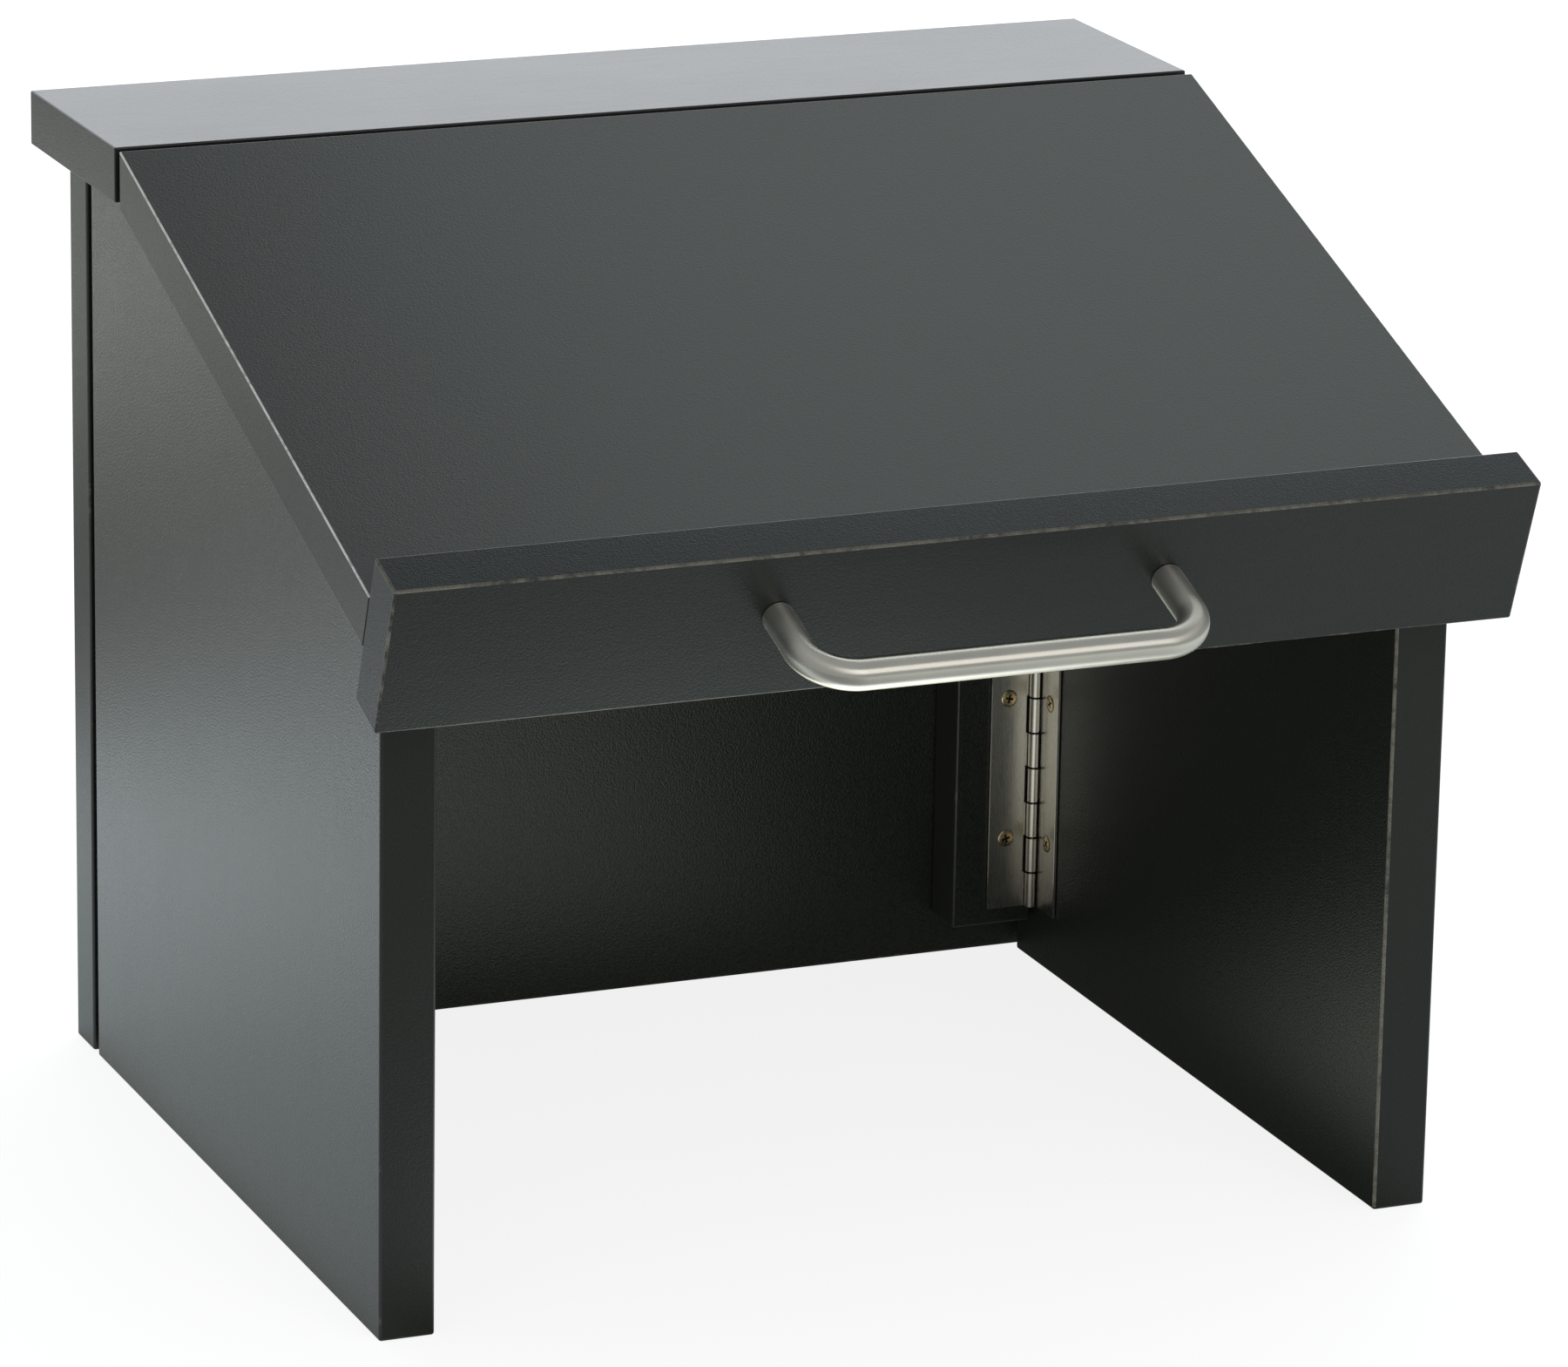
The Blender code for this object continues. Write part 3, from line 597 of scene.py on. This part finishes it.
def build_leaf(name, node, keeps_even, body, to_row, material):
    """One leaf with its rolled knuckles, as one closed mesh. to_row maps the section's (x, y) and the
    distance along the pin to the row frame."""
    bm = bmesh.new()
    outside, inside = leaf_section()
    inner = KNUCKLE_R - LEAF
    flange = [(-LEAF_NOTCH, inner), (-LEAF_WIDTH, inner),
              (-LEAF_WIDTH, KNUCKLE_R), (-LEAF_NOTCH, KNUCKLE_R)]
    spans = []  # start, end and whether there is a knuckle
    half = KNUCKLE_GAP / 2
    for k in range(KNUCKLES):
        if (k % 2 == 0) == keeps_even:
            start = k * KNUCKLE + (half if k else 0)
            end = (k + 1) * KNUCKLE - (half if k < KNUCKLES - 1 else 0)
            if start > 0:
                spans.append((spans[-1][1] if spans else 0, start, False))
            spans.append((start, end, True))
    if spans[-1][1] < KNUCKLES * KNUCKLE:
        spans.append((spans[-1][1], KNUCKLES * KNUCKLE, False))

    def ring(points, along):
        return [bm.verts.new((x, y, along)) for x, y in points]

    def skin(low, high):
        for k in range(len(low) - 1):
            bm.faces.new((low[k], low[k + 1], high[k + 1], high[k]))

    low = ring(flange, spans[0][0])
    bm.faces.new(low)
    for start, end, rolled in spans:
        high = ring(flange, end)
        skin(low, high)
        if rolled:
            roll_low = [low[3]] + ring(outside + inside, start) + [low[0]]
            roll_high = [high[3]] + ring(outside + inside, end) + [high[0]]
            skin(roll_low, roll_high)
            bm.faces.new(roll_low)
            bm.faces.new(roll_high)
        else:
            bm.faces.new((low[3], low[0], high[0], high[3]))
        low = high
    bm.faces.new(low)
    bmesh.ops.recalc_face_normals(bm, faces=bm.faces)
    bm.transform(to_row)
    made = mesh_object(name, bm, None, [material], angle=35)
    cut(made, countersinks(to_row, material))
    made.data.shade_smooth()
    made.data.set_sharp_from_angle(angle=math.radians(35))
    soften = made.modifiers.new("soften", "BEVEL")
    soften.width = 0.12 * MM
    soften.segments = 1
    soften.limit_method = "ANGLE"
    soften.angle_limit = math.radians(50)
    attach(made, body)
    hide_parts(node)


def screw_head_mesh():
    """A countersunk cross-head screw, pointing down, with the rim of its head at Z = 0."""
    sides = 32
    profile = [(0, HEAD_DOME), (0.45 * HEAD_R, 0.86 * HEAD_DOME), (0.8 * HEAD_R, 0.45 * HEAD_DOME),
               (0.96 * HEAD_R, 0.10 * HEAD_DOME), (HEAD_R, -0.05 * MM), (SHANK_TOP_R, -1.5 * MM),
               (SHANK_R, -10 * MM), (0, -13 * MM)]
    bm = bmesh.new()
    rings = []
    for radius, z in profile:
        if radius == 0:
            rings.append([bm.verts.new((0, 0, z))])
            continue
        angles = [2 * math.pi * k / sides for k in range(sides)]
        rings.append([bm.verts.new((radius * math.cos(a), radius * math.sin(a), z)) for a in angles])
    for first, second in zip(rings, rings[1:]):
        for k in range(sides):
            after = (k + 1) % sides
            corners = [first[k % len(first)], first[after % len(first)]]
            corners += [second[after % len(second)], second[k % len(second)]]
            bm.faces.new(list(dict.fromkeys(corners)))
    blank = mesh_object("screw_blank", bm, None, [MAT["zinc"]], angle=35)
    arm, half = CROSS_ARM, CROSS_HALF
    plus = [(arm, -half), (arm, half), (half, half), (half, arm), (-half, arm), (-half, half),
            (-arm, half), (-arm, -half), (-half, -half), (-half, -arm), (half, -arm), (half, -half)]
    cross = bmesh.new()
    high = [cross.verts.new((x, y, 0.5 * MM)) for x, y in plus]
    low = [cross.verts.new((CROSS_TAPER * x, CROSS_TAPER * y, -1.2 * MM)) for x, y in plus]
    cross.faces.new(high)
    cross.faces.new(list(reversed(low)))
    for k in range(len(plus)):
        after = (k + 1) % len(plus)
        cross.faces.new((high[k], low[k], low[after], high[after]))
    cut(blank, mesh_object("cross_cutter", cross, None, [MAT["zinc"]], smooth=False))
    mesh = blank.data
    mesh.shade_smooth()
    mesh.set_sharp_from_angle(angle=math.radians(35))
    bpy.data.objects.remove(blank)
    # the second material paints shade into the cross recess, and the faces down in the recess take it
    mesh.materials.append(MAT["painted_shade_recess"])
    for face in mesh.polygons:
        in_painted_shade = face.center.z < -0.12 * MM and face.center.to_2d().length < 1.7 * MM
        face.material_index = 1 if in_painted_shade else 0
    mesh.name = "cross_head_screw"
    return mesh


def build_pin(name, node, to_row):
    sides, length = 20, KNUCKLE * KNUCKLES
    bm = bmesh.new()
    rings = []
    end = length / MM
    profile = ((PIN_END_R, -0.05), (PIN_R, 0.25), (PIN_R, end - 0.25), (PIN_END_R, end + 0.05))
    for radius, along in profile:
        angles = [2 * math.pi * k / sides for k in range(sides)]
        rings.append([bm.verts.new((radius * MM * math.cos(a), radius * MM * math.sin(a), along * MM))
                      for a in angles])
    for first, second in zip(rings, rings[1:]):
        for k in range(sides):
            after = (k + 1) % sides
            bm.faces.new((first[k], first[after], second[after], second[k]))
    bm.faces.new(rings[0])
    bm.faces.new(rings[-1])
    bm.transform(to_row)
    made = mesh_object(name, bm, "base", [MAT["pin"]], angle=35)
    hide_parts(node)


def axes_matrix(origin, section_x, section_y, along):
    columns = [Vector(section_x), Vector(section_y), Vector(along)]
    matrix = Matrix.Identity(4)
    for k, column in enumerate(columns):
        for row in range(3):
            matrix[row][k] = column[row]
    return Matrix.Translation(Vector(origin)) @ matrix


def build_hinge(prefix, body, fixed, moving, screw_mesh, material, seed):
    """fixed and moving are the leaves' matrices from section axes to the row frame."""
    build_leaf(prefix + "_leaf_fixed", prefix + "_fixed_leaf", True, "base", fixed, material)
    build_leaf(prefix + "_leaf_moving", prefix + "_moving_leaf", False, body, moving, material)
    build_pin(prefix + "_rod", prefix + "_pin", fixed)
    chance = random.Random(seed)
    for leaf, matrix, rides in (("fixed", fixed, "base"), ("moving", moving, body)):
        for k in range(SCREWS):
            seat = Vector((-SCREW_FROM_PIN, KNUCKLE_R - LEAF, FIRST_SCREW + k * SCREW_PITCH))
            out = Matrix.Rotation(math.pi / 2, 4, "X")  # the head's +Z to the section's -Y
            spin = Matrix.Rotation(chance.uniform(0, math.pi / 2), 4, "Z")
            screw = bpy.data.objects.new(f"{prefix}_{leaf}_head_{k + 1}", screw_mesh)
            bpy.context.scene.collection.objects.link(screw)
            screw.matrix_world = matrix @ Matrix.Translation(seat) @ out @ spin
            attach(screw, rides)
            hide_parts(f"{prefix}_{leaf}_screw_{k + 1}")


def build_hinges():
    screw_mesh = screw_head_mesh()
    base_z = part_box("left_hinge_fixed_leaf")[0].z
    for seed, (side, sign) in enumerate((("left", -1), ("right", 1))):
        pin = JOINTS[side + "_side_fold"]["pos_m"]
        origin = (pin[0], pin[1], base_z)
        fixed = axes_matrix(origin, (sign, 0, 0), (0, 1, 0), (0, 0, 1))
        moving = axes_matrix(origin, (0, 1, 0), (sign, 0, 0), (0, 0, 1))
        build_hinge(side + "_hinge", side + "_side", fixed, moving, screw_mesh, MAT["hinge_upright"],
                    seed)
    pin = JOINTS["reading_board_lift"]["pos_m"]
    origin = (-KNUCKLE * KNUCKLES / 2, pin[1], pin[2])
    fixed = axes_matrix(origin, (0, 0, -1), (0, 1, 0), (1, 0, 0))
    moving = axes_matrix(origin, (0, 0, -1), (0, -1, 0), (1, 0, 0))
    build_hinge("board_hinge", "reading_desk", fixed, moving, screw_mesh, MAT["hinge_level"], 7)


def finish_hidden_nodes():
    """The CAD's own fasteners and dowels that stay: they only need their materials."""
    for name, node in frame["nodes"].items():
        if node.hide_render:
            continue
        if "dowel" in name:
            material = MAT["dowel"]
        elif "bolt" in name or "screw" in name:
            material = MAT["zinc"]
        else:
            continue
        for slot in node.material_slots:
            slot.material = material


# ---------------------------------------------------------------- stage


def area_light(name, location, target, size, power, colour):
    data = bpy.data.lights.new(name, "AREA")
    data.shape = "RECTANGLE"
    data.size, data.size_y = size
    data.energy = power
    data.color = colour
    light = bpy.data.objects.new(name, data)
    light.location = location
    light.rotation_euler = (Vector(target) - Vector(location)).to_track_quat("-Z", "Y").to_euler()
    light.visible_camera = False
    bpy.context.scene.collection.objects.link(light)


def plane(name, half, height, material):
    bm = bmesh.new()
    bmesh.ops.create_grid(bm, x_segments=1, y_segments=1, size=half)
    mesh = bpy.data.meshes.new(name)
    bm.to_mesh(mesh)
    bm.free()
    mesh.materials.append(material)
    made = bpy.data.objects.new(name, mesh)
    made.location.z = height
    bpy.context.scene.collection.objects.link(made)
    return made


def floor_glow():
    """What the panels reflect of the table: dim inside the stand, and in bands behind it."""
    m = Nodes("floor_glow")
    place = m.node("ShaderNodeSeparateXYZ", {"Vector": m.coords()})
    x, y = place.outputs["X"], place.outputs["Y"]
    levels = ((0.0, 0.36), (0.20, 0.40), (0.34, 0.52), (0.44, 0.78), (0.53, 1.0),
              (0.59, 0.46), (0.65, 0.21), (0.79, 0.16), (0.88, 0.45), (1.0, 1.0))
    stops = [(position, (level, level, level)) for position, level in levels]
    bands = m.ramp(m.between(y, -0.4, 1.2), stops)
    beside = m.between(m.maths("ABSOLUTE", x), 0.158, 0.19)
    behind = m.between(y, 0.165, 0.19)
    before = m.between(y, -0.13, -0.20)
    outside = m.maths("MAXIMUM", beside, m.maths("MAXIMUM", behind, before))
    depth = m.maths("MULTIPLY", m.between(y, 0.12, -0.08), m.between(y, -0.30, -0.20))
    across = m.maths("MULTIPLY", m.between(x, 0.125, 0.06), m.between(x, -0.15, -0.10))
    entering = m.maths("MULTIPLY", m.maths("MULTIPLY", depth, across), 4.5)
    front = m.between(y, -0.22, -0.32)
    dimmed = m.maths("MULTIPLY", front, m.between(x, -0.10, 0.35, 0.62, -0.20))
    strength = m.maths("ADD", m.between(outside, 0, 1, 0.09, 1.7), entering)
    strength = m.maths("MULTIPLY", strength, m.maths("SUBTRACT", 1.0, dimmed))
    cool_to_green = m.mix(m.between(y, 0.45, 0.65), (0.89, 0.98, 1.0), (0.97, 1.0, 0.955))
    tint = m.mix(outside, (0.97, 1.0, 0.90), cool_to_green)
    tint = m.mix(front, tint, (0.94, 1.0, 0.97))
    bands = m.mix(1.0, bands, tint, "MULTIPLY")
    m.feed(m.shader.inputs["Emission Color"], bands)
    m.feed(m.shader.inputs["Emission Strength"], strength)
    m.material.cycles.emission_sampling = "NONE"
    return m.set(colour=(0, 0, 0), roughness=1.0, specular=0.0)


def build_stage():
    m = Nodes("pale_floor")
    m.set(colour=(0.35, 0.35, 0.35), roughness=0.8, specular=0.1)
    m.shader.inputs["Emission Color"].default_value = (1, 1, 1, 1)
    m.shader.inputs["Emission Strength"].default_value = 0.85
    plane("floor", 6, 0, m.material).visible_glossy = False
    glow = plane("floor_reflection", 1.5, -0.001, floor_glow())
    glow.visible_camera = False
    glow.visible_diffuse = False
    glow.visible_shadow = False

    world = bpy.data.worlds.new("studio")
    bpy.context.scene.world = world
    world.use_nodes = True
    background = world.node_tree.nodes["Background"]
    background.inputs["Color"].default_value = (0.95, 0.99, 1.0, 1)
    background.inputs["Strength"].default_value = 0.36
    bpy.context.scene.view_settings.view_transform = "Standard"

    cool = (0.91, 0.955, 1.0)
    area_light("back_panel_light", (0.6, 2.6, 0.95), (0, 0, 0.25), (4.0, 1.5), 34, cool)
    area_light("overhead", (0.96, 0.84, 1.35), (0.96, 0.84, 0.0), (1.35, 1.0), 4.2,
               (0.90, 1.0, 0.985))
    area_light("front_fill", (0.5, -2.6, 1.6), (0, 0, 0.10), (1.5, 1.5), 11, (1.0, 0.98, 0.94))


def rotation_about(vector):
    """A turn about the vector, by its length in radians."""
    axis = Vector(vector)
    return Matrix.Rotation(axis.length, 3, axis.normalized())


def build_camera():
    data = bpy.data.cameras.new("camera")
    data.sensor_width = CAMERA_SENSOR
    data.lens = CAMERA_LENS
    data.clip_start = 0.1
    data.clip_end = 50
    camera = bpy.data.objects.new("camera", data)
    bpy.context.scene.collection.objects.link(camera)
    rotation = rotation_about(CAMERA_TURN)
    right, down, forward = rotation.row[0], rotation.row[1], rotation.row[2]
    matrix = Matrix.Identity(4)
    for k, column in enumerate((right, -down, -forward)):
        for row in range(3):
            matrix[row][k] = column[row]
    camera.matrix_world = Matrix.Translation(CAMERA_PLACE) @ matrix
    bpy.context.scene.camera = camera


lip_face, lip_top = build_boards()
build_handle(lip_face, lip_top)
build_hinges()
finish_hidden_nodes()
build_stage()
build_camera()

bpy.context.view_layer.update()
